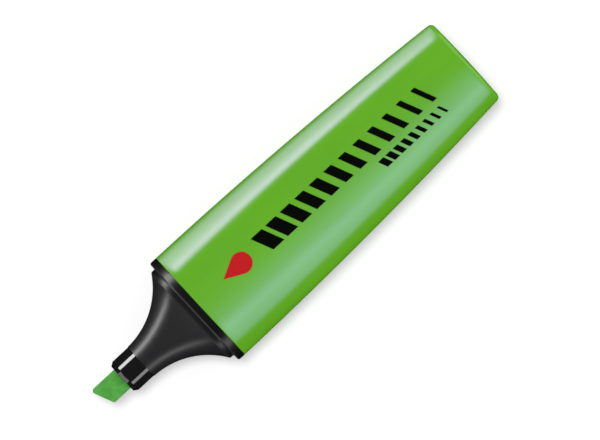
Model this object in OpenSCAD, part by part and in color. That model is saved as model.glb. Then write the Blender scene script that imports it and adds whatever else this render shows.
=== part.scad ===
// Chisel-tip highlighter with a broad flat barrel and a pull-off cap, lying open on its back.
// The pen's axis runs along X, nib towards +X, and its front face looks up. All sizes are in millimetres.
// The origin is on the flat back, on the surface the pen lies on, midway along the barrel.

/* [Barrel] */
// Length of the barrel, from its open mouth to its closed rear end
barrel_len = 74.7; // [72:0.1:76]
// Width of the pen at the barrel's mouth, the flange and the cap's mouth
body_w = 27; // [26.4:0.1:27.6]
// Thickness of the pen at the barrel's mouth, the flange and the cap's mouth
body_t = 17; // [16.8:0.1:17.4]
// Width of the barrel at its rear end
rear_w = 20.8; // [20.6:0.1:22]
// Thickness of the barrel at its rear end
rear_t = 15.2; // [15:0.1:16]
// Wall thickness of the barrel
barrel_wall = 1.3; // [1.1:0.1:1.4]
// Radius of the rounded edge around the rear end
rear_edge_r = 1; // [0.8:0.1:1.3]

/* [Nose] */
// Length of the flange that closes the barrel's mouth
flange_len = 1.75; // [1.5:0.05:2.2]
// Width of the land that the cap's mouth slides over
land_w = 24; // [23.8:0.1:24]
// Length of that land
land_len = 1.05; // [0.9:0.05:1.3]
// Length of the concave funnel between the land and the collar
funnel_len = 14.2; // [13.8:0.1:14.4]
// Radius of the funnel's concave curve, seen from the front
funnel_r = 16.8; // [16.8:0.1:17.4]
// Radius of the round collar that holds the nib
collar_r = 3.95; // [3.95:0.05:4.05]
// Length of the collar
collar_len = 4.9; // [4.8:0.05:5.1]

/* [Nib] */
// Width of the nib, which is the widest line it draws
nib_w = 5.1; // [4.9:0.1:5.1]
// Thickness of the nib behind its wedge
nib_t = 4; // [3.8:0.1:4]
// Length of nib in front of the collar, to its long point
nib_out = 6.7; // [6.3:0.1:6.8]
// Slant of the nib's writing edge
nib_slant = 23; // [18:1:24]

/* [Ink store] */
// Width of the wrapped ink store
store_w = 17; // [16.6:0.1:17]
// Thickness of the wrapped ink store
store_t = 10; // [9.8:0.1:10]

/* [Cap] */
// Length of the cap
cap_len = 29.5; // [29.4:0.1:30.5]
// Width of the cap at its closed end
cap_end_w = 24.6; // [24.2:0.1:25.2]
// Thickness of the cap at its closed end
cap_end_t = 15.8; // [15.6:0.1:16.4]
// Distance that the cap slides along the pen's axis, from lying clear to shut
cap_travel = 56; // [40:1:80]

/* [Hidden] */

mouth_x = barrel_len / 2;    // x of the barrel's mouth, from which every station below is measured
axis_z = body_t / 2;         // height of the pen's axis above its flat back
bow = 0.11;                  // share of a taper that is straight; the rest follows a shallow arc
mouth_corner_r = 8.2;        // corner radius of the section at the mouths
rear_corner_r = 5;           // corner radius of the section at the barrel's rear end
cap_corner_r = 6.6;          // corner radius of the section at the cap's closed end
arc_steps = 9;               // facets in each quarter of a section
body_steps = 9;              // stations along a tapered body
edge_steps = 4;              // stations around a rounded end edge
rear_floor = 1.6;            // thickness of the barrel's closed rear end
rib_y = 3.4;                 // distance of each rib in the barrel from the middle
rib_w = 1.2;                 // width of a rib
rib_draft = 0.1;             // slope on each side of a rib
rib_foot = 0.3;              // distance over which a rib runs down to the barrel's floor
gap = 0.05;                  // clearance between parts that touch or slide
least_r = 0.5;               // smallest corner radius of a section that is drawn in from another
side_flat = 0.02;            // half of the flat between two corners that nearly meet
cut = 1;                     // how far a cutting solid reaches past what it cuts

skirt_len = 5;               // how far the nose plugs into the barrel
throat_len = skirt_len + 1;  // depth of the barrel's plain throat, in which the nose sits
rib_ramp = 1;                // distance over which a rib rises behind the throat
nose_wall = 1.2;             // wall of the nose
land_t = body_t - (body_w - land_w);
flange_bevel = 0.15;         // bevel on the flange's front edge
land_end = flange_len + land_len;
funnel_end = land_end + funnel_len;
collar_end = funnel_end + collar_len;
collar_bevel = [0.85, 0.6];  // bevel on the collar's front edge: along the axis, and across it
funnel_steps = 12;           // stations along the funnel
bore_corner_r = 0.1;         // corner radius of the nib's bore
tube_wall = 0.9;             // wall of the guide tube around the nib inside the nose
tube_corner_r = 1;           // corner radius of the guide tube
tube_back = 1;               // station of the guide tube's rear end
hollow_front = funnel_end - 8.5;  // station where the space around the guide tube ends
hollow_steps = 3;            // stretches along that space

nib_tip = collar_end + nib_out;
nib_back = -19;              // station of the nib's rear end, inside the ink store
wedge_len = 5.4;             // length of the nib's wedge
wedge_t = 1.8;               // thickness of the writing edge, which is the thin line it draws
tip_soft = 0.6;              // rounding at the nib's long point

film_t = 0.2;                // thickness of the film around the ink store
core_front = -7;             // station of the ink core's front end
core_back = -72.4;           // station of the ink core's rear end
film_over = 0.4;             // how far the film reaches past each end of the core

cap_wall = 1.45;             // wall of the cap
cap_floor = 1.4;             // thickness of the cap's closed end
cap_edge_r = 1.4;            // radius of the rounded edge around the cap's closed end
cap_steps = 3;               // stretches along the cap's inside
seat_len = land_len + 1;     // depth of the straight seat in the cap's mouth, which fits the land
cap_throat = 5;              // depth at which the cap's inside starts to follow its outside
cap_mouth = flange_len + gap + cap_travel;  // station of the cap's mouth as it lies off the pen
liner_r = collar_r + gap;    // bore of the liner, which seals around the collar
liner_wall = 0.8;            // wall of the liner
liner_floor = 0.6;           // thickness of the liner's closed end
liner_mouth = 16.3;          // depth of the liner's mouth inside the cap
wing_t = 1.2;                // thickness of the wings that centre the liner
wing_front = 19;             // depth at which the wings start

ink_t = 0.06;                // thickness of the printed ink
lean = tan(nib_slant);       // lean of the printed strokes, which is that of the nib's edge
stroke_share = [0.3, 0.78];  // share of its pitch that the rearmost and the foremost stroke fill
wide_print = [-3.1, 1.65];   // sides of the wide row of strokes
thin_print = [3.1, 5.15];    // sides of the thin row
print_back = -64.8;          // station of the rear end of both rows
wide_len = 47.8;             // length of the wide row
thin_len = 17.9;             // length of the thin row
wide_strokes = 12;           // strokes in the wide row
thin_strokes = 9;            // strokes in the thin row
drop_at = [-12.3, -0.8];     // centre of the printed drop
drop_r = 2.3;                // radius of the drop's round end
drop_len = 5;                // from the drop's centre to its point

// ---- sections and lofts ----

// A taper that starts nearly straight and bends in, for t from 0 to 1.
function taper(t) = bow * t + (1 - bow) * t * t;
function mix(from, to, t) = from + (to - from) * t;

// A section is [x, half width, bottom z, top z, corner radius].
function inset(s, d) = [s[0], s[1] - d, s[2] + d, s[3] - d, max(s[4] - d, least_r)];

function arc_points(cy, cz, r, from) =
    [for (k = [0 : arc_steps]) let (a = from + 90 * k / arc_steps) [cy + r * cos(a), cz + r * sin(a)]];

// Points across one flat side where the ribs stand. A rib's crest is at z = crest; with crest = z the side
// is plain.
function rib_points(z, crest, side) =
    [for (c = [-rib_y, rib_y]) for (p = [[-1, 0], [-1, 1], [1, 1], [1, 0]])
        [side * (c + p[0] * (rib_w / 2 - p[1] * rib_draft)), p[1] ? crest : z]];

// The points of a rounded section, anticlockwise seen from the nib. crests holds the ribs' lower and upper z.
function ring(s, ribbed = false, crests = undef) =
    let (y = s[1] - s[4], lo = s[2] + s[4], hi = s[3] - s[4], r = s[4],
         c = crests == undef ? [s[2], s[3]] : crests)
    [for (p = concat(ribbed ? rib_points(s[2], c[0], 1) : [], arc_points(y, lo, r, 270),
                     arc_points(y, hi, r, 0), ribbed ? rib_points(s[3], c[1], -1) : [],
                     arc_points(-y, hi, r, 90), arc_points(-y, lo, r, 180)))
        [s[0], p[0], p[1]]];

// A solid through a row of rings with equal numbers of points. A closed loft joins its last ring to its
// first; an open one is closed by a fan of triangles around the middle of each end ring.
module loft(rings, closed = false) {
    n = len(rings[0]);
    m = len(rings);
    sides = [for (i = [0 : closed ? m - 1 : m - 2]) for (j = [0 : n - 1])
        let (i2 = (i + 1) % m, j2 = (j + 1) % n)
        [i * n + j, i2 * n + j, i2 * n + j2, i * n + j2]];
    fans = closed ? [] : [for (j = [0 : n - 1]) let (j2 = (j + 1) % n)
        each [[m * n, j, j2], [m * n + 1, (m - 1) * n + j2, (m - 1) * n + j]]];
    middles = closed ? [] : [for (r = [rings[0], rings[m - 1]]) [for (p = r) 1] * r / n];
    polyhedron(concat([for (r = rings) each r], middles), concat(sides, fans), convexity = 6);
}

module at_mouth() {
    translate([mouth_x, 0, 0]) children();
}

// ---- barrel ----

// Outside of the barrel at a distance behind its mouth.
function barrel_section(back) =
    let (t = back / barrel_len)
    [-back, mix(body_w, rear_w, taper(t)) / 2, 0, mix(body_t, rear_t, taper(t)),
     mix(mouth_corner_r, rear_corner_r, t)];

straight_len = barrel_len - rear_edge_r;
barrel_stations = [for (k = [0 : body_steps]) straight_len * k / body_steps];
rib_crests = [axis_z - store_t / 2 - gap, axis_z + store_t / 2 + gap];

module barrel() {
    outer_end = [for (k = [edge_steps : -1 : 1]) let (a = 90 * k / edge_steps)
        inset(barrel_section(straight_len + rear_edge_r * sin(a)), rear_edge_r * (1 - cos(a)))];
    outer = [for (k = [body_steps : -1 : 0]) barrel_section(barrel_stations[k])];
    mouth = [for (b = [0, throat_len]) inset(barrel_section(b), barrel_wall)];
    ribbed = [for (b = concat([throat_len + rib_ramp], [for (k = [1 : body_steps - 1]) barrel_stations[k]],
                              [barrel_len - rear_floor - rib_foot]))
        inset(barrel_section(b), barrel_wall)];
    floor_section = inset(barrel_section(barrel_len - rear_floor), barrel_wall);
    color("#63ac26") at_mouth() loft(concat(
        [for (s = concat(outer_end, outer, mouth)) ring(s, true)],
        [for (s = ribbed) ring(s, true, rib_crests)],
        [ring(floor_section, true)]));
}

// ---- nose ----

// A section centred on the pen's axis.
function axis_section(x, half_w, half_t, r) = [x, half_w, axis_z - half_t, axis_z + half_t, r];

// Outside of the funnel at a distance behind the collar. Its thickness grows in proportion to its width.
function funnel_section(back) =
    let (rise = funnel_r - sqrt(funnel_r * funnel_r - back * back),
         half_t = collar_r + rise * (land_t / 2 - collar_r) / (land_w / 2 - collar_r))
    axis_section(funnel_end - back, collar_r + rise, half_t, half_t - side_flat);

module nose_shell() {
    skirt = function (back, more) inset(barrel_section(back), barrel_wall + gap + more);
    flange = barrel_section(0);
    land = axis_section(land_end, land_w / 2, land_t / 2, land_t / 2 - side_flat);
    bore = axis_section(0, nib_w / 2 + gap, nib_t / 2 + gap, bore_corner_r);
    tube = axis_section(0, nib_w / 2 + gap + tube_wall, nib_t / 2 + gap + tube_wall, tube_corner_r);
    sweep_angle = asin(funnel_len / funnel_r);
    at = function (s, x) [x, s[1], s[2], s[3], s[4]];
    outer = concat(
        [skirt(skirt_len, 0), skirt(0, 0), flange, at(flange, flange_len - flange_bevel),
         at(inset(flange, flange_bevel), flange_len), at(land, flange_len), land],
        [for (k = [funnel_steps : -1 : 0]) funnel_section(funnel_r * sin(sweep_angle * k / funnel_steps))]);
    inner = concat(
        [at(bore, funnel_end), at(bore, tube_back), at(tube, tube_back), at(tube, hollow_front)],
        [for (k = [0 : hollow_steps]) let (x = mix(hollow_front, land_end, k / hollow_steps))
            inset(funnel_section(funnel_end - x), nose_wall)],
        [skirt(0, nose_wall), skirt(skirt_len, nose_wall)]);
    loft([for (s = concat(outer, inner)) ring(s)], closed = true);
}

module collar() {
    translate([funnel_end, 0, axis_z]) difference() {
        rotate([0, 90, 0]) rotate_extrude($fn = 96) polygon([
            [0, 0], [collar_r, 0], [collar_r, collar_len - collar_bevel[0]],
            [collar_r - collar_bevel[1], collar_len], [0, collar_len]]);
        translate([-cut, -nib_w / 2 - gap, -nib_t / 2 - gap])
            cube([collar_len + 2 * cut, nib_w + 2 * gap, nib_t + 2 * gap]);
    }
}

module nose() {
    color("#222226") at_mouth() {
        nose_shell();
        collar();
    }
}

// ---- nib and ink store ----

module nib() {
    slope = tan(nib_slant);
    color("#49a838") at_mouth() intersection() {
        linear_extrude(height = body_t) polygon([
            [nib_back, -nib_w / 2], [nib_tip - 2 * tip_soft, -nib_w / 2],
            [nib_tip - tip_soft / 2, -nib_w / 2 + tip_soft / 2], [nib_tip, -nib_w / 2 + tip_soft],
            [nib_tip - (nib_w - tip_soft) * slope, nib_w / 2], [nib_back, nib_w / 2]]);
        translate([0, body_w / 2, axis_z]) rotate([90, 0, 0]) linear_extrude(height = body_w) polygon([
            [nib_back, -nib_t / 2], [nib_tip - wedge_len, -nib_t / 2], [nib_tip, -wedge_t / 2],
            [nib_tip, wedge_t / 2], [nib_tip - wedge_len, nib_t / 2], [nib_back, nib_t / 2]]);
    }
}

// A bar of stadium section along X, from station a to station b.
module stadium_bar(a, b, w, t) {
    translate([a, 0, axis_z]) rotate([90, 0, 90]) linear_extrude(height = b - a) {
        square([w - t, t], center = true);
        for (side = [-1, 1]) translate([side * (w - t) / 2, 0]) circle(d = t, $fn = 64);
    }
}

module ink_core() {
    color("#b9d86a") at_mouth() difference() {
        stadium_bar(core_back, core_front, store_w - 2 * film_t, store_t - 2 * film_t);
        translate([nib_back, -nib_w / 2, axis_z - nib_t / 2])
            cube([core_front - nib_back + cut, nib_w, nib_t]);
    }
}

module ink_film() {
    color("#e8efe0") at_mouth() difference() {
        stadium_bar(core_back - film_over, core_front + film_over, store_w, store_t);
        stadium_bar(core_back - film_over - cut, core_front + film_over + cut,
                    store_w - 2 * film_t, store_t - 2 * film_t);
    }
}

// ---- cap ----

// Outside of the cap at a depth from its mouth.
function cap_section(depth) =
    let (t = depth / cap_len)
    [depth, mix(body_w, cap_end_w, taper(t)) / 2, 0, mix(body_t, cap_end_t, taper(t)),
     mix(mouth_corner_r, cap_corner_r, t)];

module at_cap() {
    translate([mouth_x + cap_mouth, 0, 0]) children();
}

module cap_shell() {
    straight = cap_len - cap_edge_r;
    seat = function (depth) axis_section(depth, land_w / 2 + gap, land_t / 2 + gap, land_t / 2 - side_flat);
    inner = [for (k = [0 : cap_steps])
        inset(cap_section(mix(cap_len - cap_floor, cap_throat, k / cap_steps)), cap_wall)];
    mouth = [seat(seat_len), seat(0)];
    outer = [for (k = [0 : body_steps]) cap_section(straight * k / body_steps)];
    outer_end = [for (k = [1 : edge_steps]) let (a = 90 * k / edge_steps)
        inset(cap_section(straight + cap_edge_r * sin(a)), cap_edge_r * (1 - cos(a)))];
    color("#1b1b1d") at_cap() loft([for (s = concat(inner, mouth, outer, outer_end)) ring(s)]);
}

module cap_liner() {
    liner_end = cap_len - cap_floor;
    outer_r = liner_r + liner_wall;
    end = inset(cap_section(liner_end), cap_wall + 2 * gap);
    color("#2b2b2e") at_cap() {
        translate([0, 0, axis_z]) rotate([0, 90, 0]) rotate_extrude($fn = 96) polygon([
            [liner_r, liner_mouth], [outer_r, liner_mouth], [outer_r, liner_end], [0, liner_end],
            [0, liner_end - liner_floor], [liner_r, liner_end - liner_floor]]);
        for (side = [-1, 1]) {
            low_y = side > 0 ? outer_r - gap : -end[1];
            translate([wing_front, low_y, axis_z - wing_t / 2])
                cube([liner_end - wing_front, end[1] - outer_r + gap, wing_t]);
        }
        translate([wing_front, -wing_t / 2, axis_z + outer_r - gap])
            cube([liner_end - wing_front, wing_t, end[3] - axis_z - outer_r + gap]);
        translate([wing_front, -wing_t / 2, end[2]])
            cube([liner_end - wing_front, wing_t, axis_z - outer_r + gap - end[2]]);
    }
}

// ---- printed ink on the front face ----

// Keeps the part of its children that lies in a layer of ink on the barrel's front face.
module ink_layer() {
    face = [for (b = barrel_stations) let (s = barrel_section(b)) [s[0], s[3]]];
    top = [for (k = [len(face) - 1 : -1 : 0]) face[k] + [0, ink_t]];
    at_mouth() intersection() {
        translate([0, body_w / 2, 0]) rotate([90, 0, 0]) linear_extrude(height = body_w)
            polygon(concat(face, top));
        linear_extrude(height = 2 * body_t) children();
    }
}

// A row of leaning strokes at one pitch, which thicken towards the nib.
module strokes(sides, length, count) {
    shift = lean * (sides[1] - sides[0]);
    pitch = (length - shift) / (count - 1 + stroke_share[1]);
    for (k = [0 : count - 1]) {
        start = print_back + pitch * k;
        finish = start + pitch * mix(stroke_share[0], stroke_share[1], k / (count - 1));
        polygon([[start, sides[1]], [finish, sides[1]],
                 [finish + shift, sides[0]], [start + shift, sides[0]]]);
    }
}

module wide_line_print() {
    color("black") ink_layer() strokes(wide_print, wide_len, wide_strokes);
}

module thin_line_print() {
    color("black") ink_layer() strokes(thin_print, thin_len, thin_strokes);
}

module drop_print() {
    touch = acos(drop_r / drop_len);
    color("red") ink_layer() translate(drop_at) {
        circle(r = drop_r, $fn = 64);
        polygon([[drop_len, 0], drop_r * [cos(touch), sin(touch)], drop_r * [cos(touch), -sin(touch)]]);
    }
}

barrel();
nose();
nib();
ink_core();
ink_film();
cap_shell();
cap_liner();
wide_line_print();
thin_line_print();
drop_print();
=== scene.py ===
"""Looks of a flat-bodied highlighter that lies on its back, with its cap off ahead of the nib.

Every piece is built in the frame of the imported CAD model: +X runs along the pen's axis to the
nib, and +Z is up. Stations along the pen are measured from the barrel's mouth, in metres.
"""

import math

import bmesh
import bpy
from mathutils import Matrix, Vector


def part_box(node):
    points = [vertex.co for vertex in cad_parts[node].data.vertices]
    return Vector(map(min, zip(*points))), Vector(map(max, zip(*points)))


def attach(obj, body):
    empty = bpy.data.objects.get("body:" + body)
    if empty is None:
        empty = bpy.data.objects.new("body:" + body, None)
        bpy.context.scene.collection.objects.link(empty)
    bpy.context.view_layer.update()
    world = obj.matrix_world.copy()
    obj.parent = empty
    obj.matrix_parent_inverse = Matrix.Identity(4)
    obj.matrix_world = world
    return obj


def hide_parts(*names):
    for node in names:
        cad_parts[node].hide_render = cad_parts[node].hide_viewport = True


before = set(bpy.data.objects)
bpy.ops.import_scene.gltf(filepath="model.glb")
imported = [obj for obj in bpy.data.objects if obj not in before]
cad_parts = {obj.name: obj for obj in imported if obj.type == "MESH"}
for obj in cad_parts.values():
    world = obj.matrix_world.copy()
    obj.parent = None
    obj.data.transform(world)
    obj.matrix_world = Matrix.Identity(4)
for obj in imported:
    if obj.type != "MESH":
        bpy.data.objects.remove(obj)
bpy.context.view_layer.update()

MM = 0.001

# ---- sizes that follow from the frame ----

BARREL_LOW, BARREL_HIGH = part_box("barrel")
NOSE_LOW, NOSE_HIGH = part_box("nose")
NIB_LOW, NIB_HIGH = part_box("nib")
CAP_LOW, CAP_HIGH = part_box("cap_shell")

MOUTH_X = BARREL_HIGH.x
BARREL_LEN = BARREL_HIGH.x - BARREL_LOW.x
BODY_W = BARREL_HIGH.y - BARREL_LOW.y
BODY_T = BARREL_HIGH.z
AXIS_Z = BODY_T / 2
NIB_W = NIB_HIGH.y - NIB_LOW.y
NIB_T = NIB_HIGH.z - NIB_LOW.z
NIB_TIP = NIB_HIGH.x - MOUTH_X
NIB_BACK = NIB_LOW.x - MOUTH_X
COLLAR_END = NOSE_HIGH.x - MOUTH_X
SKIRT_LEN = MOUTH_X - NOSE_LOW.x
CAP_AT = CAP_LOW.x - MOUTH_X
CAP_LEN = CAP_HIGH.x - CAP_LOW.x

# ---- sizes shared with the CAD source ----

REAR_W = 20.8 * MM
REAR_T = 15.2 * MM
BOW = 0.11  # share of a taper that is straight; the rest follows a shallow arc
MOUTH_CORNER_R = 8.2 * MM
REAR_CORNER_R = 5.0 * MM
CAP_CORNER_R = 6.6 * MM
BARREL_WALL = 1.3 * MM
REAR_FLOOR = 1.6 * MM
REAR_EDGE_R = 1.0 * MM
FLANGE_LEN = 1.75 * MM
LAND_W = 24.0 * MM
LAND_T = BODY_T - (BODY_W - LAND_W)
LAND_END = 2.8 * MM
COLLAR_R = 3.95 * MM
COLLAR_LEN = 4.9 * MM
FUNNEL_END = COLLAR_END - COLLAR_LEN
FUNNEL_R = 16.8 * MM
POLISH_BACK = 0.3 * MM  # how far the polish reaches behind the collar
FUNNEL_STEP = 0.1 * MM  # how far the funnel's front end stands proud of the collar
NIB_SLANT = math.radians(23)
WEDGE_LEN = 5.4 * MM
WEDGE_T = 1.8 * MM
CAP_END_W = 24.6 * MM
CAP_END_T = 15.8 * MM
CAP_WALL = 1.45 * MM
CAP_FLOOR = 1.4 * MM
CAP_EDGE_R = 1.4 * MM
GAP = 0.05 * MM

# ---- sizes of the looks alone ----

CROWN = 1.4 * MM  # how far the front face falls from its middle to its sides
END_BULGE = 0.2 * MM  # how far the closed ends stand out in their middle
BULGE_SHARES = (0.94, 0.82, 0.65, 0.45, 0.25)  # sizes of the rings that make an end's bulge

INK_T = 0.045 * MM  # height of the printed ink
INK_SUNK = 0.02 * MM  # how far the printed ink reaches into the barrel
PRINT_BACK = -64.8 * MM  # station where both rows of strokes start
STROKE_SHARE = (0.3, 0.78)  # share of its pitch that the rearmost and the foremost stroke fill
WIDE_ROW = (-3.1 * MM, 1.65 * MM, 47.8 * MM, 12)  # lowest and highest y, length, strokes
THIN_ROW = (3.1 * MM, 5.15 * MM, 17.9 * MM, 9)
DROP_CENTRE = (-12.3 * MM, -0.8 * MM)
DROP_R = 2.3 * MM
DROP_LEN = 5.0 * MM

CORNER_STEPS = 14
FLAT_STEPS = 10
SIDE_STEPS = 2


def mix(low, high, t):
    return low + (high - low) * t


def taper(t):
    """Starts nearly straight and bends in, for t from 0 to 1."""
    return BOW * t + (1 - BOW) * t * t


def quarter(steps, first=1):
    """How far a rounded edge runs on and how far it draws in, as shares of its radius."""
    angles = [math.pi / 2 * k / steps for k in range(first, steps + 1)]
    return [(math.sin(angle), 1 - math.cos(angle)) for angle in angles]


# ---- materials ----


def set_inputs(node, inputs):
    """Sets a node's inputs, each to a value or to another node's output."""
    for key, value in inputs.items():
        if isinstance(value, bpy.types.NodeSocket):
            node.id_data.links.new(value, node.inputs[key])
        else:
            node.inputs[key].default_value = value


def node_adder(tree):
    """A function that adds a node of some kind to the tree, with its inputs and settings."""

    def add(kind, inputs=None, **settings):
        node = tree.nodes.new(kind)
        for key, value in settings.items():
            setattr(node, key, value)
        set_inputs(node, inputs or {})
        return node

    return add


def new_material(name):
    """A node material, its Principled shader and a function that adds nodes to it."""
    material = bpy.data.materials.new(name)
    material.use_nodes = True
    tree = material.node_tree
    return material, tree.nodes["Principled BSDF"], node_adder(tree)


def maths(add, operation, *values):
    """The result of a maths node. Each value is a number or another node's output."""
    return add("ShaderNodeMath", dict(enumerate(values)), operation=operation).outputs[0]


def stretched(add, vector, scale):
    """A vector in metres turned into millimetres and stretched by scale."""
    per_mm = [s / MM for s in scale]
    return add("ShaderNodeVectorMath", {0: vector, 1: per_mm}, operation="MULTIPLY").outputs[0]


def object_coords(add, scale):
    return stretched(add, add("ShaderNodeTexCoord").outputs["Object"], scale)


def noise(add, vector, detail):
    inputs = {"Vector": vector, "Scale": 1.0, "Detail": detail}
    return add("ShaderNodeTexNoise", inputs).outputs["Fac"]


def ramp(add, factor, stops):
    """A colour ramp from (place, grey or colour) stops."""
    node = add("ShaderNodeValToRGB", {"Fac": factor})
    elements = node.color_ramp.elements
    while len(elements) < len(stops):
        elements.new(0.5)
    for element, (place, value) in zip(elements, stops):
        element.position = place
        element.color = (*value, 1) if isinstance(value, tuple) else (value, value, value, 1)
    return node.outputs["Color"]


def bump(add, height, strength, distance):
    inputs = {"Height": height, "Strength": strength, "Distance": distance}
    return add("ShaderNodeBump", inputs).outputs["Normal"]


def wear_and_sheen_edges(add, patches):
    """How pale an edge is: wear, and on the flange's chamfer a painted highlight. High along the
    edges marked on the mesh, broken up by the patches.
    """
    marked = add("ShaderNodeAttribute", attribute_name="wear_and_sheen_mark").outputs["Fac"]
    patchy = ramp(add, patches, [(0.35, 0.45), (0.6, 1.0)])
    return maths(add, "MULTIPLY", marked, patchy)


def hairlines(add, turn, patches):
    """Fine straight scratches that run nearly along the pen, only where the patches are."""
    coords = add("ShaderNodeTexCoord").outputs["Object"]
    inputs = {"Vector": coords, "Angle": math.radians(turn)}
    turned = add("ShaderNodeVectorRotate", inputs, rotation_type="Z_AXIS").outputs[0]
    fine = noise(add, stretched(add, turned, (0.06, 11.0, 11.0)), 1.0)
    lines = ramp(add, fine, [(0.68, 0.0), (0.76, 1.0)])
    return maths(add, "MULTIPLY", lines, patches)


def moulded_plastic(
    name, color, roughness, grain=0.0, scratches=0.25, specular=0.5, mottle=0.03, edge=1.6, ior=1.5
):
    """Injection-moulded plastic: faint flow mottling, hairline scratches and paler worn edges,
    partly painted highlight.

    grain is the height of a satin part's grain in millimetres, mottle is how much the colour
    varies, and edge is how many times paler a marked edge is: worn, and on the flange's chamfer
    also a painted highlight line.
    """
    material, shader, add = new_material(name)
    flow = noise(add, object_coords(add, (0.05, 0.16, 0.16)), 3.0)
    patches = noise(add, object_coords(add, (0.12, 0.2, 0.2)), 4.0)
    # paler edges: wear, and on the flange's chamfer a painted highlight line
    wear_and_sheen = wear_and_sheen_edges(add, patches)
    handled = ramp(add, patches, [(0.45, 0.0), (0.7, 1.0)])
    lines = maths(add, "MAXIMUM", hairlines(add, 9, handled), hairlines(add, -14, handled))

    dark = tuple(c * (1 - mottle) for c in color)
    light = tuple(min(1.0, c * (1 + mottle)) for c in color)
    pale = tuple(min(1.0, c * edge + 0.01 * (edge - 1)) for c in color)
    shade = ramp(add, flow, [(0.3, dark), (0.7, light)])
    mixed = add("ShaderNodeMix", {"Factor": wear_and_sheen, "A": shade, "B": (*pale, 1)}, data_type="RGBA")

    rough = maths(add, "MULTIPLY_ADD", lines, 0.16 * scratches, roughness)
    rough = maths(add, "MULTIPLY_ADD", handled, 0.015, rough)
    rough = maths(add, "MULTIPLY_ADD", wear_and_sheen, 0.08, rough)

    height = maths(add, "MULTIPLY", lines, -0.0006 * MM * scratches)
    if grain:
        fine = noise(add, object_coords(add, (4.5, 4.5, 4.5)), 2.0)
        height = maths(add, "MULTIPLY_ADD", fine, grain * MM, height)
    surface = {
        "Base Color": mixed.outputs["Result"],
        "Roughness": rough,
        "Specular IOR Level": specular,
        "IOR": ior,
        "Normal": bump(add, height, 1.0, 1.0),
    }
    set_inputs(shader, surface)
    return material


def fibre(name, dark, light, depth=0.02):
    """Bonded fibre soaked with ink: long fine streaks along X, open pores and uneven wetting.

    depth is how deep the streaks and pores are, in millimetres.
    """
    material, shader, add = new_material(name)
    streaks = noise(add, object_coords(add, (0.7, 9.0, 9.0)), 4.0)
    wet = noise(add, object_coords(add, (0.5, 0.6, 0.6)), 3.0)
    cells = {"Vector": object_coords(add, (2.2, 7.0, 7.0)), "Scale": 1.0}
    pores = add("ShaderNodeTexVoronoi", cells).outputs["Distance"]
    soaked = maths(add, "MULTIPLY_ADD", streaks, 0.6, wet)
    height = maths(add, "MULTIPLY_ADD", streaks, 2.0, pores)
    surface = {
        "Base Color": ramp(add, soaked, [(0.55, dark), (1.0, light)]),
        "Roughness": 0.85,
        "Sheen Weight": 0.05,
        "Specular IOR Level": 0.8,
        "Normal": bump(add, height, 0.6, depth * MM),
    }
    set_inputs(shader, surface)
    return material


def printed_ink(name, color):
    """Pad-printed ink: dense and a little glossy, with a faint pinhole texture."""
    material, shader, add = new_material(name)
    speck = noise(add, object_coords(add, (6.0, 6.0, 6.0)), 2.0)
    light = tuple(min(1.0, c * 1.2 + 0.001) for c in color)
    surface = {
        "Base Color": ramp(add, speck, [(0.5, color), (0.8, light)]),
        "Roughness": ramp(add, speck, [(0.3, 0.22), (0.7, 0.3)]),
        "Specular IOR Level": 0.2,
        "Normal": bump(add, speck, 0.3, 0.004 * MM),
    }
    set_inputs(shader, surface)
    return material


def clear_film(name):
    """Thin clear film: a faint tint, with shallow wrinkles along the ink store."""
    material, shader, add = new_material(name)
    wrinkle = noise(add, object_coords(add, (0.15, 0.9, 0.9)), 3.0)
    surface = {
        "Base Color": ramp(add, wrinkle, [(0.3, (0.72, 0.8, 0.66)), (0.7, (0.86, 0.91, 0.82))]),
        "Roughness": 0.2,
        "Transmission Weight": 0.6,
        "Normal": bump(add, wrinkle, 0.5, 0.08 * MM),
    }
    set_inputs(shader, surface)
    return material


GREEN = (0.112, 0.408, 0.0055)
SATIN_BLACK = (0.0165, 0.016, 0.0195)
DEEP_BLACK = (0.0055, 0.0055, 0.006)
COLLAR_BLACK = (0.0095, 0.0095, 0.01)
NOSE_IOR = 1.7  # the nose mirrors dim panels strongly, so that low views of it aren't blown out

barrel_plastic = moulded_plastic(
    "barrel_plastic", GREEN, roughness=0.2, specular=1.0, mottle=0.04, edge=1.15
)
nose_plastic = moulded_plastic(
    "nose_plastic", SATIN_BLACK, roughness=0.36, grain=0.0015, specular=1.0, ior=NOSE_IOR
)
land_plastic = moulded_plastic(
    "land_plastic", COLLAR_BLACK, roughness=0.36, specular=0.8, edge=2.0, ior=NOSE_IOR
)
# edge=3.0 makes the flange's chamfer much paler: wear, and a painted highlight line along its front
# edge
flange_plastic = moulded_plastic(
    "glossy_flange", DEEP_BLACK, roughness=0.3, specular=0.77, edge=3.0, ior=NOSE_IOR
)
collar_plastic = moulded_plastic(
    "polished_collar", COLLAR_BLACK, roughness=0.06, scratches=0.1, specular=1.0, ior=NOSE_IOR
)
cap_plastic = moulded_plastic("cap_plastic", DEEP_BLACK, roughness=0.16, edge=3.0)
liner_plastic = moulded_plastic("liner_plastic", SATIN_BLACK, roughness=0.3, grain=0.003)
nib_felt = fibre("nib_felt", (0.033, 0.27, 0.012), (0.066, 0.40, 0.03))
ink_fibre = fibre("ink_fibre", (0.28, 0.52, 0.05), (0.6, 0.78, 0.28), depth=0.1)
wrap_film = clear_film("wrap_film")
black_print = printed_ink("black_print", (0.002, 0.003, 0.002))
red_print = printed_ink("red_print", (0.47, 0.006, 0.009))


# ---- sections and lofts ----


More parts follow.
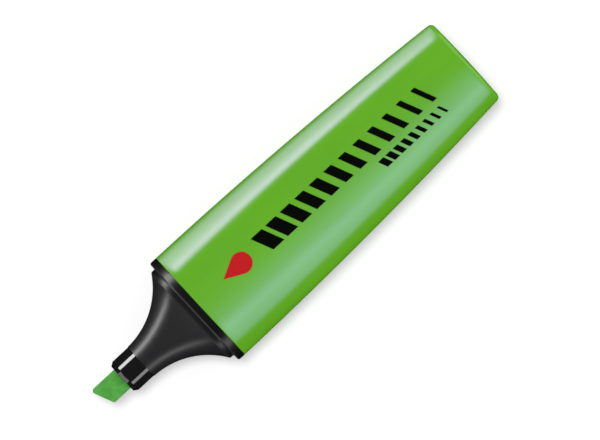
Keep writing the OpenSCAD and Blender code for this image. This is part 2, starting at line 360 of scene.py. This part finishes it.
def section(half_w, low, high, corner_r, crown=0.0):
    """Points (y, z) of a rounded section, anticlockwise seen from the nib.

    The upper half falls by crown from its middle to its sides.
    """
    least_flat = 0.01 * MM
    corner_r = min(corner_r, half_w - least_flat, (high - low) / 2 - least_flat)
    y, z_low, z_high = half_w - corner_r, low + corner_r, high - corner_r
    corners = [(y, z_low, 270), (y, z_high, 0), (-y, z_high, 90), (-y, z_low, 180)]
    arcs = []
    for cy, cz, start in corners:
        angles = [math.radians(start + 90 * k / CORNER_STEPS) for k in range(CORNER_STEPS + 1)]
        arcs.append([(cy + corner_r * math.cos(a), cz + corner_r * math.sin(a)) for a in angles])
    points = []
    for arc, following, steps in zip(arcs, arcs[1:] + arcs[:1], [SIDE_STEPS, FLAT_STEPS] * 2):
        a, b = arc[-1], following[0]
        points += arc
        points += [(mix(a[0], b[0], k / steps), mix(a[1], b[1], k / steps)) for k in range(1, steps)]
    middle = (low + high) / 2
    return [
        (py, pz - crown * (py / half_w) ** 2 * max(0.0, (pz - middle) / (high - middle)))
        for py, pz in points
    ]


def ring(x, *args, **kwargs):
    """A section placed at a station, as points of the row frame."""
    return [Vector((MOUTH_X + x, y, z)) for y, z in section(*args, **kwargs)]


def shrunk(points, share, shift_x=0.0):
    """A ring drawn in towards its own middle, for closing an end."""
    middle = sum(points, Vector()) / len(points)
    return [middle + (p - middle) * share + Vector((shift_x, 0, 0)) for p in points]


def rounded(points, radius, x):
    """A circle with as many points as a ring, about the ring's own middle."""
    middle = sum(points, Vector()) / len(points)
    middle.x = MOUTH_X + x
    spokes = [Vector((0, p.y - middle.y, p.z - middle.z)).normalized() for p in points]
    return [middle + spoke * radius for spoke in spokes]


def bulged(edge, bulge):
    """Rings from the edge of a closed end inwards, over its slight bulge."""
    return [shrunk(edge, s, bulge * (1 - s * s)) for s in BULGE_SHARES]


def gate_mark(around, x, outwards):
    """Rings of the small round recess that the mould's gate leaves in an end, from its middle."""
    radius, depth, edge = 1.0 * MM, 0.15 * MM, 0.02 * MM
    sunk = x + depth * outwards
    return [
        rounded(around, radius * 0.25, sunk),
        rounded(around, radius * 0.8, sunk),
        rounded(around, radius, x + edge * outwards),
        rounded(around, radius * 1.12, x),
    ]


def loft(name, rings, material, body, closed=False, crease=40):
    """A smooth piece through rings with equal numbers of points.

    Where it isn't closed on itself, each end closes in a single point.
    """
    count = len(rings[0])
    verts = [p for r in rings for p in r]
    faces = []
    for i in range(len(rings) if closed else len(rings) - 1):
        a, b = i * count, ((i + 1) % len(rings)) * count
        for j in range(count):
            k = (j + 1) % count
            faces.append((a + j, a + k, b + k, b + j))
    if not closed:
        for r, order in ((0, -1), (len(rings) - 1, 1)):
            middle = sum(rings[r], Vector()) / count
            verts.append(middle)
            for j in range(count):
                k = (j + 1) % count
                tri = (r * count + j, r * count + k, len(verts) - 1)
                faces.append(tri[::order])
    return make_piece(name, verts, faces, material, body, crease)


def make_piece(name, verts, faces, materials, body, crease):
    """A mesh object that rides on a body, smooth apart from edges sharper than crease degrees."""
    mesh = bpy.data.meshes.new(name)
    mesh.from_pydata([tuple(v) for v in verts], [], faces)
    mesh.update()
    piece = bpy.data.objects.new(name, mesh)
    bpy.context.scene.collection.objects.link(piece)
    for material in materials if isinstance(materials, list) else [materials]:
        mesh.materials.append(material)
    mesh.shade_smooth()
    mesh.set_sharp_from_angle(angle=math.radians(crease))
    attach(piece, body)
    return piece


def face_outwards(piece):
    """Turns every face so that its normal points out of the closed mesh."""
    work = bmesh.new()
    work.from_mesh(piece.data)
    bmesh.ops.recalc_face_normals(work, faces=work.faces)
    work.to_mesh(piece.data)
    work.free()
    piece.data.update()


def mark_wear_and_sheen(piece, spans):
    """Marks the points whose station lies in one of the spans, for the plastic's paler edges: wear,
    and on the flange's chamfer a painted highlight line.
    """
    wear_and_sheen_mark = piece.data.attributes.new("wear_and_sheen_mark", "FLOAT", "POINT")
    for vertex, value in zip(piece.data.vertices, wear_and_sheen_mark.data):
        station = vertex.co.x - MOUTH_X
        value.value = float(any(low <= station <= high for low, high in spans))


# ---- barrel ----


def barrel_size(back):
    """(half width, height, corner radius) of the barrel's outside, at a distance from its mouth."""
    t = back / BARREL_LEN
    return (
        mix(BODY_W, REAR_W, taper(t)) / 2,
        mix(BODY_T, REAR_T, taper(t)),
        mix(MOUTH_CORNER_R, REAR_CORNER_R, t),
    )


def barrel_ring(back, inset=0.0):
    half_w, high, corner_r = barrel_size(back)
    least_r = 0.6 * MM
    return ring(-back, half_w - inset, inset, high - inset, max(corner_r - inset, least_r), CROWN)


def build_barrel():
    """The shell, from the gate mark in its rear end round its lip to its inner floor."""
    lip_r, inner_edge_r = 0.18 * MM, 1.0 * MM
    straight = BARREL_LEN - REAR_EDGE_R - END_BULGE
    rear = barrel_ring(BARREL_LEN - END_BULGE, REAR_EDGE_R)
    rings = gate_mark(rear, -BARREL_LEN, 1)
    rings += bulged(rear, -END_BULGE)[::-1]
    for on, inward in quarter(8, first=0)[::-1]:
        rings.append(barrel_ring(straight + REAR_EDGE_R * on, REAR_EDGE_R * inward))
    steps = 48
    rings += [barrel_ring(mix(lip_r, straight, k / steps)) for k in range(steps - 1, -1, -1)]
    rings += [barrel_ring(lip_r * (1 - on), lip_r * inward) for on, inward in quarter(4)]
    near_mouth = 2 * MM
    inner_straight = BARREL_LEN - REAR_FLOOR - inner_edge_r
    inside = [0.0, near_mouth] + [mix(near_mouth, inner_straight, k / 12) for k in range(1, 13)]
    rings += [barrel_ring(back, BARREL_WALL) for back in inside]
    for on, inward in quarter(4):
        back = inner_straight + inner_edge_r * on
        rings.append(barrel_ring(back, BARREL_WALL + inner_edge_r * inward))
    piece = loft("barrel_shell", rings, barrel_plastic, "pen")
    worn_rear, worn_lip = 0.9 * MM, 0.1 * MM
    mark_wear_and_sheen(piece, [(-BARREL_LEN, worn_rear - BARREL_LEN), (-worn_lip, 0)])
    face_outwards(piece)
    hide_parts("barrel")


# ---- nose ----


def axis_ring(x, half_w, half_t, corner_r):
    return ring(x, half_w, AXIS_Z - half_t, AXIS_Z + half_t, corner_r)


def funnel_size(back):
    """(half width, half thickness) of the funnel, at a distance behind the collar."""
    rise = FUNNEL_R - math.sqrt(FUNNEL_R**2 - back**2)
    share = rise / (LAND_W / 2 - COLLAR_R)
    least = COLLAR_R + FUNNEL_STEP
    return least + rise, least + share * (LAND_T / 2 - COLLAR_R)


def skirt_ring(back, more=0.0):
    """A section of the plug that the nose pushes into the barrel."""
    return barrel_ring(back, BARREL_WALL + GAP + more)


def bore_ring(x, more=0.0):
    """A section of the bore that holds the nib."""
    corner_r = 0.45 * MM
    return axis_ring(x, NIB_W / 2 + GAP + more, NIB_T / 2 + GAP + more, corner_r + more / 3)


def flange_rings():
    """The flange, from its edge at the barrel's mouth over its front chamfer."""
    half_w, high, corner_r = barrel_size(0)
    chamfer = 0.28 * MM
    front = FLANGE_LEN - chamfer
    profile = [(0, 0.12 * MM), (0.03 * MM, 0.04 * MM), (0.12 * MM, 0)]
    profile += [(front - 0.08 * MM, 0), (front, 0.02 * MM)]
    profile += [(FLANGE_LEN - 0.04 * MM, chamfer * 0.9), (FLANGE_LEN, chamfer)]
    return [
        ring(x, half_w - inset, inset, high - inset, corner_r - inset, CROWN)
        for x, inset in profile
    ]


def land_rings():
    """The land that the cap's mouth slides over, with a rounded root and shoulder."""

    def land(x, inset):
        return axis_ring(x, LAND_W / 2 - inset, LAND_T / 2 - inset, LAND_T / 2 - inset)

    root_r, shoulder_r = 0.15 * MM, 0.3 * MM
    shoulder_turn = math.radians(57)
    rings = []
    for on, inward in quarter(3, first=0):
        rings.append(land(FLANGE_LEN + root_r * inward, -root_r * (1 - on)))
    for k in range(5):
        angle = shoulder_turn * k / 4
        x = LAND_END - shoulder_r + shoulder_r * math.sin(angle)
        rings.append(land(x, shoulder_r * (1 - math.cos(angle))))
    return rings


def funnel_rings():
    """The concave funnel, from the land to the collar."""
    steps = 40
    to_land = 0.06 * MM
    start = POLISH_BACK / FUNNEL_R
    sweep = math.asin((FUNNEL_END - LAND_END - to_land) / FUNNEL_R)
    rings = []
    for k in range(steps, -1, -1):
        back = FUNNEL_R * math.sin(mix(start, sweep, k / steps))
        half_w, half_t = funnel_size(back)
        rings.append(axis_ring(FUNNEL_END - back, half_w, half_t, half_t))
    return rings


def nose_inside(front):
    """The nib's guide tube, the hollow around it and the inside of the skirt."""
    tube_back, tube_wall, wall = 1.0 * MM, 0.9 * MM, 1.2 * MM
    hollow_front, hollow_back = FUNNEL_END - 8.5 * MM, LAND_END + 0.5 * MM
    rings = [bore_ring(front), bore_ring(tube_back)]
    rings += [bore_ring(tube_back, tube_wall), bore_ring(hollow_front, tube_wall)]
    for k in range(5):
        x = mix(hollow_front, hollow_back, k / 4)
        half_w, half_t = funnel_size(FUNNEL_END - x)
        rings.append(axis_ring(x, half_w - wall, half_t - wall, half_t - wall))
    return rings + [skirt_ring(0, wall), skirt_ring(SKIRT_LEN, wall)]


def build_nose():
    """Skirt, flange, land and funnel, hollow around the nib's guide tube."""
    lead_in, lead_len, at_flange = 0.2 * MM, 0.4 * MM, 0.02 * MM
    rings = [skirt_ring(SKIRT_LEN, lead_in), skirt_ring(SKIRT_LEN - lead_len)]
    rings += [skirt_ring(at_flange)]
    rings += flange_rings()
    flange_end = len(rings)
    rings += land_rings()
    land_end = len(rings)
    rings += funnel_rings()
    front = FUNNEL_END - POLISH_BACK
    front_r = COLLAR_R - 0.1 * MM
    rings.append(axis_ring(front, front_r, front_r, COLLAR_R))
    rings += nose_inside(front)
    finishes = [nose_plastic, flange_plastic, land_plastic]
    piece = loft("nose_moulding", rings, finishes, "pen", closed=True, crease=35)
    count = len(rings[0])
    for i, polygon in enumerate(piece.data.polygons):
        band = i // count
        polygon.material_index = 1 if band < flange_end - 1 else 2 if band < land_end - 1 else 0
    # the pale flange chamfer is a painted highlight line along the flange's front edge, as well as
    # wear
    worn_and_highlit_chamfer, worn_shoulder = 0.3 * MM, 0.1 * MM
    spans = [(FLANGE_LEN - worn_and_highlit_chamfer, FLANGE_LEN), (LAND_END - worn_shoulder, LAND_END)]
    mark_wear_and_sheen(piece, spans)
    face_outwards(piece)
    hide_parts("nose")


def build_collar():
    """The polished round end of the nose, with a chamfer around the nib's bore."""
    bevel_r = 0.6 * MM
    bevel = COLLAR_END - 0.85 * MM
    back = FUNNEL_END - POLISH_BACK + 0.01 * MM
    profile = [(back, 0), (FUNNEL_END + 1.5 * MM, 0), (FUNNEL_END + 3 * MM, 0)]
    profile += [(bevel - 0.12 * MM, 0), (bevel, 0.02 * MM), (bevel + 0.1 * MM, 0.08 * MM)]
    profile += [(COLLAR_END - 0.12 * MM, bevel_r - 0.1 * MM)]
    profile += [(COLLAR_END - 0.03 * MM, bevel_r - 0.02 * MM), (COLLAR_END, bevel_r + 0.06 * MM)]
    rings = [axis_ring(x, COLLAR_R - inset, COLLAR_R - inset, COLLAR_R) for x, inset in profile]
    mouth = 0.15 * MM  # chamfer of the bore's mouth
    rings += [bore_ring(COLLAR_END, mouth), bore_ring(COLLAR_END - mouth), bore_ring(back)]
    piece = loft("nose_collar", rings, collar_plastic, "pen", closed=True, crease=35)
    mark_wear_and_sheen(piece, [])
    face_outwards(piece)
    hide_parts("nose")


# ---- nib ----


def nib_half_t(x):
    """Half thickness of the nib at a station: full behind the wedge, thin at the writing edge."""
    t = min(max((x - (NIB_TIP - WEDGE_LEN)) / WEDGE_LEN, 0), 1)
    return mix(NIB_T, WEDGE_T, t) / 2


def nib_ring(x_long, lean, inset=0.0):
    """A section of the nib. lean is 0 where it is square to the pen, and 1 along the edge."""
    edge_r = 0.35 * MM
    points = []
    for y, z in section(NIB_W / 2 - inset, -NIB_T / 2, NIB_T / 2, edge_r):
        x = x_long - (y + NIB_W / 2) * math.tan(NIB_SLANT) * lean
        thin = (nib_half_t(x) - inset) / (NIB_T / 2)
        points.append(Vector((MOUTH_X + x, y, AXIS_Z + z * thin)))
    return points


def build_nib():
    """A chisel of bonded fibre. Its rings lean more and more towards the slanted writing edge."""
    tip_r, lead_len = 0.3 * MM, 0.3 * MM
    rings = [shrunk(nib_ring(NIB_BACK, 0), s) for s in (0.3, 0.9)]
    square = (NIB_BACK + lead_len, NIB_BACK + 6 * MM, -4 * MM, 6 * MM, 14 * MM)
    rings += [nib_ring(x, 0) for x in square]
    steps, lean_rate = 26, 1.6
    front = COLLAR_END - 0.8 * MM
    for k in range(steps + 1):
        t = k / steps
        rings.append(nib_ring(mix(front, NIB_TIP - tip_r, t), min(1.0, t * lean_rate)))
    for on, inward in quarter(5):
        rings.append(nib_ring(NIB_TIP - tip_r + tip_r * on, 1.0, tip_r * inward))
    last = rings[-1]
    rings += [shrunk(last, s) for s in (0.75, 0.4)]
    piece = loft("nib_chisel", rings, nib_felt, "pen", crease=60)
    soften_long_point(piece)
    face_outwards(piece)
    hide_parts("nib")


def soften_long_point(piece):
    """Draws the nib's long point back in plan, as it wears in use."""
    radius, cut, span = 1.0 * MM, 0.7 * MM, 3 * MM
    start = MOUTH_X + NIB_TIP - span
    for vertex in piece.data.vertices:
        from_side = vertex.co.y + NIB_W / 2
        if vertex.co.x > start and from_side < radius:
            share = 1 - from_side / radius
            reach = (vertex.co.x - start) / span
            vertex.co.x -= cut * share * share * reach


# ---- cap ----


def cap_ring(depth, inset=0.0):
    t = depth / CAP_LEN
    half_w = mix(BODY_W, CAP_END_W, taper(t)) / 2
    high = mix(BODY_T, CAP_END_T, taper(t))
    corner_r = mix(MOUTH_CORNER_R, CAP_CORNER_R, t)
    return ring(CAP_AT + depth, half_w - inset, inset, high - inset, corner_r - inset, CROWN)


def build_cap():
    """The shell, from its inner floor round its lip to the gate mark in its closed end."""
    lip_r, inner_edge_r = 0.2 * MM, 0.8 * MM
    floor_at = CAP_LEN - CAP_FLOOR
    inner_floor = cap_ring(floor_at, CAP_WALL + inner_edge_r)
    rings = [shrunk(inner_floor, s) for s in (0.3, 0.7)]
    for on, inward in quarter(5, first=0)[::-1]:
        depth = floor_at - inner_edge_r * (1 - on)
        rings.append(cap_ring(depth, CAP_WALL + inner_edge_r * inward))
    bore_len, inner_straight = 5 * MM, floor_at - inner_edge_r
    for k in range(7, -1, -1):
        rings.append(cap_ring(mix(bore_len, inner_straight, k / 8), CAP_WALL))
    half_w, half_t = LAND_W / 2 + GAP, LAND_T / 2 + GAP
    bore = ((2.1, 0), (1.2, 0), (0.35, 0), (0.12, 0.06), (0, 0.25))  # depth, widening, in mm
    for depth, more in bore:
        rings.append(axis_ring(CAP_AT + depth * MM, half_w + more * MM, half_t + more * MM, half_t))
    rings += [cap_ring(lip_r * (1 - on), lip_r * inward) for on, inward in quarter(4, first=0)]
    straight = CAP_LEN - CAP_EDGE_R - END_BULGE
    steps = 24
    rings += [cap_ring(mix(lip_r, straight, k / steps)) for k in range(1, steps + 1)]
    for on, inward in quarter(8):
        rings.append(cap_ring(straight + CAP_EDGE_R * on, CAP_EDGE_R * inward))
    end = rings[-1]
    rings += bulged(end, END_BULGE)
    rings += gate_mark(end, CAP_AT + CAP_LEN, -1)[::-1]
    piece = loft("cap_cover", rings, cap_plastic, "cap")
    worn_lip, worn_end = 0.1 * MM, 0.8 * MM
    end_at = CAP_AT + CAP_LEN
    mark_wear_and_sheen(piece, [(CAP_AT, CAP_AT + worn_lip), (end_at - worn_end, end_at)])
    face_outwards(piece)
    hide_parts("cap_shell")


# ---- pieces that the CAD model shows itself ----


def finish_cad_nodes():
    finishes = {"ink_core": ink_fibre, "ink_film": wrap_film, "cap_liner": liner_plastic}
    for node, material in finishes.items():
        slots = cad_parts[node].data.materials
        slots.clear()
        slots.append(material)


# ---- printed ink ----


def front_z(x, y):
    """Height of the barrel's front face at a station and a distance from the middle."""
    half_w, high, _ = barrel_size(-x)
    return high - CROWN * (y / half_w) ** 2


def print_slab(name, patches, material, node):
    """One piece of printed ink, from grids of (x, y) points.

    Each grid becomes a closed slab that follows the front face.
    """
    verts, faces = [], []
    for grid in patches:
        rows, columns, base = len(grid), len(grid[0]), len(verts)
        for height in (INK_T, -INK_SUNK):
            for row in grid:
                verts += [Vector((MOUTH_X + x, y, front_z(x, y) + height)) for x, y in row]
        layer = rows * columns

        def at(r, c, low=0, base=base, columns=columns, layer=layer):
            return base + low * layer + r * columns + c

        for r in range(rows - 1):
            for c in range(columns - 1):
                faces.append((at(r, c), at(r, c + 1), at(r + 1, c + 1), at(r + 1, c)))
                faces.append((at(r, c, 1), at(r + 1, c, 1), at(r + 1, c + 1, 1), at(r, c + 1, 1)))
        rim = [(0, c) for c in range(columns)]
        rim += [(r, columns - 1) for r in range(1, rows)]
        rim += [(rows - 1, c) for c in range(columns - 2, -1, -1)]
        rim += [(r, 0) for r in range(rows - 2, 0, -1)]
        for (r, c), (r2, c2) in zip(rim, rim[1:] + rim[:1]):
            faces.append((at(r, c), at(r, c, 1), at(r2, c2, 1), at(r2, c2)))
    piece = make_piece(name, verts, faces, material, "pen", crease=50)
    face_outwards(piece)
    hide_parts(node)


def strokes(low_y, high_y, length, count):
    """A row of leaning strokes that thicken towards the nib, as grids of points."""
    lean = math.tan(NIB_SLANT)
    pitch = (length - lean * (high_y - low_y)) / (count - 1 + STROKE_SHARE[1])
    columns, rows = 4, 7
    heights = [mix(low_y, high_y, r / rows) for r in range(rows + 1)]
    grids = []
    for k in range(count):
        start = PRINT_BACK + pitch * k
        long = pitch * mix(*STROKE_SHARE, k / (count - 1))
        grid = []
        for y in heights:
            shift = lean * (high_y - y)
            grid.append([(start + long * c / columns + shift, y) for c in range(columns + 1)])
        grids.append(grid)
    return grids


def drop(centre, radius, length):
    """A drop with its point towards the nib, as one grid of points."""
    round_steps, point_steps, blunt = 30, 10, 0.03 * MM
    touch = math.acos(radius / length)
    outline = []
    for k in range(round_steps + 1):
        angle = mix(math.pi, touch, k / round_steps)
        outline.append((radius * math.cos(angle), radius * math.sin(angle)))
    x, y = outline[-1]
    for k in range(1, point_steps + 1):
        outline.append((mix(x, length, k / point_steps), mix(y, 0, k / point_steps)))
    outline[0], outline[-1] = (outline[0][0], blunt), (outline[-1][0], blunt)
    cx, cy = centre
    return [[[(cx + x, cy + y * side) for x, y in outline] for side in (-1, -0.5, 0, 0.5, 1)]]


def build_print():
    dot = drop(DROP_CENTRE, DROP_R, DROP_LEN)
    print_slab("wide_strokes", strokes(*WIDE_ROW), black_print, "wide_line_print")
    print_slab("thin_strokes", strokes(*THIN_ROW), black_print, "thin_line_print")
    print_slab("ink_drop", dot, red_print, "drop_print")


# ---- stage, lights and camera ----

VIEW_W = 123.5 * MM  # width that the picture spans at the height of the pen's axis
VIEW_CENTRE = Vector((MOUTH_X - 27.1 * MM, 0.91 * MM, AXIS_Z))
VIEW_TURN = math.radians(137.17)  # about the vertical: the nib points to the lower left
CAMERA_UP = 3.0

FLOOR_SIZE = 3.0  # from the middle to a side
FLOOR_DROP = 0.02 * MM  # the floor lies this far below the pen's back
FLOOR_GREY = 0.25
FLOOR_GLOW = 0.43

FILL = 1.0  # radiance of the surroundings
KEY = 0.15  # light of the sun on the pen
SHADOW_LIGHT = 0.4  # light that the pen keeps off the board, out of about 1.1

PANEL_AWAY = 0.5
CARD_AWAY = 0.6
# (angle from the vertical, radiance) across the soft boxes that draw the barrel's highlights
LEFT_LEVELS = [(51, 0), (58, 6.2), (64, 9.2), (68, 8.9), (78, 6.3), (90, 4.1)]
LEFT_LEVELS += [(105, 2.9), (120, 1.2), (138, 0)]
RIGHT_LEVELS = [(3, 0), (6, 0.7), (9, 1.5), (16, 2.5), (34, 3.45), (52, 2.8), (73, 2.2), (83, 0)]
LEFT_TINT = (0.70, 0.46, 0.95)
RIGHT_TINT = (0.47, 0.46, 0.96)
LEFT_NEAR = (0.495, 0.501)  # the left box fades out between these distances
BARREL_REACH = (-0.2, 0.15)
NOSE_REACH = (-0.5, 1.3)
COLLAR_REACH = (-0.3, 0.3)
CAP_REACH = (-0.75, 0.75)


def build_floor():
    """A white board that glows a little, so that it reads as white where nothing shades it."""
    size = FLOOR_SIZE
    verts = [(-size, -size, 0), (size, -size, 0), (size, size, 0), (-size, size, 0)]
    mesh = bpy.data.meshes.new("floor")
    mesh.from_pydata(verts, [], [(0, 1, 2, 3)])
    floor = bpy.data.objects.new("floor", mesh)
    bpy.context.scene.collection.objects.link(floor)
    floor.location.z = -FLOOR_DROP
    floor.visible_glossy = False
    floor.visible_shadow = False
    material, shader, _ = new_material("white_board")
    surface = {
        "Base Color": (FLOOR_GREY, FLOOR_GREY, FLOOR_GREY, 1),
        "Emission Color": (1, 1, 1, 1),
        "Emission Strength": FLOOR_GLOW,
        "Roughness": 0.9,
        "Specular IOR Level": 0.0,
    }
    set_inputs(shader, surface)
    mesh.materials.append(material)
    return floor


def only_on(light, pieces):
    """The light reaches these pieces and nothing else."""
    receivers = bpy.data.collections.new(light.name + "_receivers")
    for piece in pieces:
        receivers.objects.link(piece)
    light.light_linking.receiver_collection = receivers


def panel(name, target, out, along, distance, size, receivers, level=1.0, color=(1, 1, 1)):
    """A soft panel that only shows in reflections, at a distance from its target, square to out."""
    data = bpy.data.lights.new(name, "AREA")
    data.shape = "RECTANGLE"
    data.size, data.size_y = size
    data.color = color
    data.energy = level * math.pi * data.size * data.size_y
    light = bpy.data.objects.new(name, data)
    bpy.context.scene.collection.objects.link(light)
    axes = Matrix((along, out.cross(along), out)).transposed().to_4x4()
    light.matrix_world = Matrix.Translation(target + out * distance) @ axes
    light.visible_camera = False
    light.visible_diffuse = False
    only_on(light, receivers)
    return light


def near_share(add, across, width, full, none):
    """The share of a panel's light that reaches a point: 1 up to full away, 0 beyond none away.

    The distance is taken square to the panel's width. The panel then draws a highlight on the
    pen's near long edge, and leaves its broad face alone.
    """
    up = maths(add, "MULTIPLY", maths(add, "SUBTRACT", across, 0.5), width)
    up = maths(add, "SUBTRACT", up, BODY_T - AXIS_Z)
    length = add("ShaderNodeLightPath").outputs["Ray Length"]
    length_squared = maths(add, "MULTIPLY", length, length)
    square = maths(add, "SUBTRACT", length_squared, maths(add, "MULTIPLY", up, up))
    inputs = {"Value": maths(add, "SQRT", square), "From Min": full, "From Max": none}
    inputs.update({"To Min": 1.0, "To Max": 0.0})
    return add("ShaderNodeMapRange", inputs).outputs["Result"]


def grade(light, stops, near=None):
    """Sets a panel's radiance across its width, from (share of the width, radiance) stops."""
    light.data.use_nodes = True
    tree = light.data.node_tree
    add = node_adder(tree)
    coords = add("ShaderNodeTexCoord").outputs["UV"]
    across = add("ShaderNodeSeparateXYZ", {0: coords}).outputs["Y"]
    peak = max(level for _, level in stops)
    curve = ramp(add, across, [(place, level / peak) for place, level in sorted(stops)])
    strength = maths(add, "MULTIPLY", curve, peak)
    if near:
        share = near_share(add, across, light.data.size_y, *near)
        strength = maths(add, "MULTIPLY", strength, share)
    set_inputs(tree.nodes["Emission"], {"Strength": strength})


def soft_box(name, side, levels, receivers, reach, color=(1, 1, 1), turn=0.0, near=None):
    """A panel along the pen, on its -Y or +Y side.

    levels are (angle from the vertical, radiance), reach is from where to where it runs in X,
    turn is how far it is turned about the vertical, and near is what near_share says.
    """
    low, high = levels[0][0], levels[-1][0]
    middle, half = math.radians(low + high) / 2, math.radians(high - low) / 2
    yaw = Matrix.Rotation(side * turn, 3, "Z")
    out = yaw @ Vector((0, side * math.sin(middle), math.cos(middle)))
    along = yaw @ Vector((1, 0, 0))
    width = 2 * PANEL_AWAY * math.tan(half)
    target = Vector((sum(reach) / 2, 0, AXIS_Z))
    size = (reach[1] - reach[0], width)
    light = panel(name, target, out, along, PANEL_AWAY, size, receivers, color=color)
    stops = []
    for angle, level in levels:
        place = 0.5 + side * math.tan(math.radians(angle) - middle) / (2 * math.tan(half))
        stops.append((place, level))
    grade(light, stops, near)


def front_card(receiver, cap_pieces, pen_pieces):
    """A low card ahead of the nib, which draws the line on the collar's chamfer.

    The cap, which lies in its way, neither hides it nor shows in reflections.
    """
    target = Vector((MOUTH_X + COLLAR_END, 0, AXIS_Z + COLLAR_R))
    rise = math.radians(4)
    out = Vector((math.cos(rise), 0, math.sin(rise)))
    size = (0.5, 0.33)
    across = Vector((0, 1, 0))
    light = panel("front_card", target, out, across, PANEL_AWAY, size, [receiver], level=0.9)
    blockers = bpy.data.collections.new("front_card_blockers")
    for piece in pen_pieces:
        blockers.objects.link(piece)
    light.light_linking.blocker_collection = blockers
    for piece in cap_pieces:
        piece.visible_glossy = False


def end_card(name, side, receivers, level):
    """A dim card past one end of the pen, for a sheen at low angles. It fades downwards."""
    target, size = Vector((0.04, 0, 0)), (1.8, 0.55)
    rise = math.radians(25)
    out = Vector((side * math.cos(rise), 0, math.sin(rise)))
    light = panel(name, target, out, Vector((0, 1, 0)), CARD_AWAY, size, receivers)
    low, full, high = (0, 0.55, 1) if side > 0 else (1, 0.45, 0)
    grade(light, [(low, 0), (full, level), (high, level)])


def sun(name, level, spread, lean, receivers):
    """A sun that leans in from the -Y side. A level of 1 turns a white face white."""
    data = bpy.data.lights.new(name, "SUN")
    data.energy = level * math.pi
    data.angle = math.radians(spread)
    light = bpy.data.objects.new(name, data)
    bpy.context.scene.collection.objects.link(light)
    light.rotation_euler = (math.radians(lean), 0, 0)
    light.visible_glossy = False
    only_on(light, receivers)


def build_lights(floor):
    pieces = [o for o in bpy.context.scene.objects if o.type == "MESH" and o is not floor]
    named = {o.name: o for o in pieces}
    shell = [named["barrel_shell"]]
    nose = [named["nose_moulding"], named["nib_chisel"]]
    collar = [named["nose_collar"]]
    cap_pieces = [named["cap_cover"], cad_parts["cap_liner"]]
    pen_pieces = [o for o in pieces if o not in cap_pieces]

    half_taper = 0.5 * math.atan((BODY_W - REAR_W) / 2 / BARREL_LEN)
    soft_box("left_box", -1, LEFT_LEVELS, shell, BARREL_REACH, LEFT_TINT, half_taper, LEFT_NEAR)
    soft_box("right_box", 1, RIGHT_LEVELS, shell, BARREL_REACH, RIGHT_TINT)
    for name, side, low, high, level, receivers, reach in (
        ("nose_left", -1, 48, 69, 3.25, nose, NOSE_REACH),
        ("nose_right", 1, 54, 75, 0.96, nose, NOSE_REACH),
        ("collar_left", -1, 48, 69, 5.2, collar, COLLAR_REACH),
        ("collar_right", 1, 54, 75, 1.55, collar, COLLAR_REACH),
    ):
        soft_box(name, side, [(low, level), (high, level)], receivers, reach)
    for name, side, level in (("cap_left", -1, 2.2), ("cap_right", 1, 1.1)):
        soft_box(name, side, [(25, 0), (45, level), (60, level), (80, 0)], cap_pieces, CAP_REACH)
    for end, side in (("far", 1), ("near", -1)):
        end_card(end + "_card", side, shell, 0.9)
        end_card(end + "_cap_card", side, cap_pieces, 0.4)
    front_card(named["nose_collar"], cap_pieces, pen_pieces)

    sun("shadow_light", SHADOW_LIGHT / FLOOR_GREY, 16, 8, [floor])
    sun("key", KEY, 60, 20, pieces)


def build_world():
    """Even white surroundings, which light the pen but don't show in its reflections."""
    world = bpy.data.worlds.new("studio")
    bpy.context.scene.world = world
    world.use_nodes = True
    background = world.node_tree.nodes["Background"]
    set_inputs(background, {"Color": (1, 1, 1, 1), "Strength": FILL})
    world.cycles_visibility.glossy = False


def build_camera():
    data = bpy.data.cameras.new("camera")
    data.lens = data.sensor_width * CAMERA_UP / VIEW_W
    camera = bpy.data.objects.new("camera", data)
    bpy.context.scene.collection.objects.link(camera)
    camera.location = VIEW_CENTRE + Vector((0, 0, CAMERA_UP))
    camera.rotation_euler = (0, 0, VIEW_TURN)
    data.clip_start, data.clip_end = 0.05, 50
    bpy.context.scene.camera = camera
    bpy.context.scene.view_settings.view_transform = "Standard"


build_camera()
build_barrel()
build_nose()
build_collar()
build_nib()
build_cap()
finish_cad_nodes()
build_print()
build_lights(build_floor())
build_world()

bpy.context.view_layer.update()
